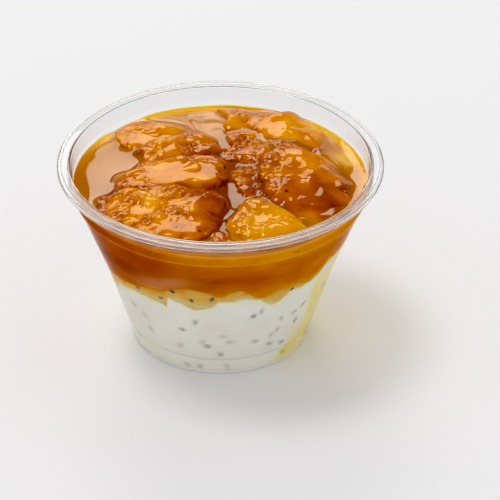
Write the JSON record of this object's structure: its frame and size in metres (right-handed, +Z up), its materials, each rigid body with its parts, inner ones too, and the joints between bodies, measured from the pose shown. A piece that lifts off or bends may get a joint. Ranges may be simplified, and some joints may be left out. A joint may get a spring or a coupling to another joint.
{
  "type": "mango compote and chia pudding dessert in a clear cup",
  "caption": "Clear tapered dessert cup with a rolled rim, layered with speckled white seed pudding, a yellow mango swirl and amber mango syrup holding soft glazed fruit chunks.",
  "frame": {"origin": "centre of the base, on the surface the cup stands on", "axes": "+Z up the cup's axis, the pictured front towards -Y"},
  "size_m": [0.095, 0.095, 0.057],
  "materials": {
    "clear_plastic": "clear, glossy, thin-walled",
    "chia_pudding": "soft milky, specked with dark seeds",
    "mango_swirl": "creamy yellow, specked with dark seeds",
    "mango_syrup": "wet amber syrup",
    "stewed_mango": "wet, soft and fibrous",
    "fresh_mango": "wet, fibrous, bright yellow"
  },
  "bodies": {
    "root": {"cup": "clear_plastic", "chia_pudding": "chia_pudding", "mango_swirl": "mango_swirl", "mango_syrup": "mango_syrup", "mango_piece_back_left": "stewed_mango", "mango_piece_middle_left": "stewed_mango", "mango_piece_upper_left": "stewed_mango", "mango_piece_front_left": "stewed_mango", "mango_piece_back": "stewed_mango", "mango_piece_centre_back": "stewed_mango", "mango_piece_centre": "stewed_mango", "mango_piece_right": "stewed_mango", "mango_piece_back_right": "stewed_mango", "mango_bit_front": "stewed_mango", "mango_piece_front": "fresh_mango"}
  },
  "joints": []
}
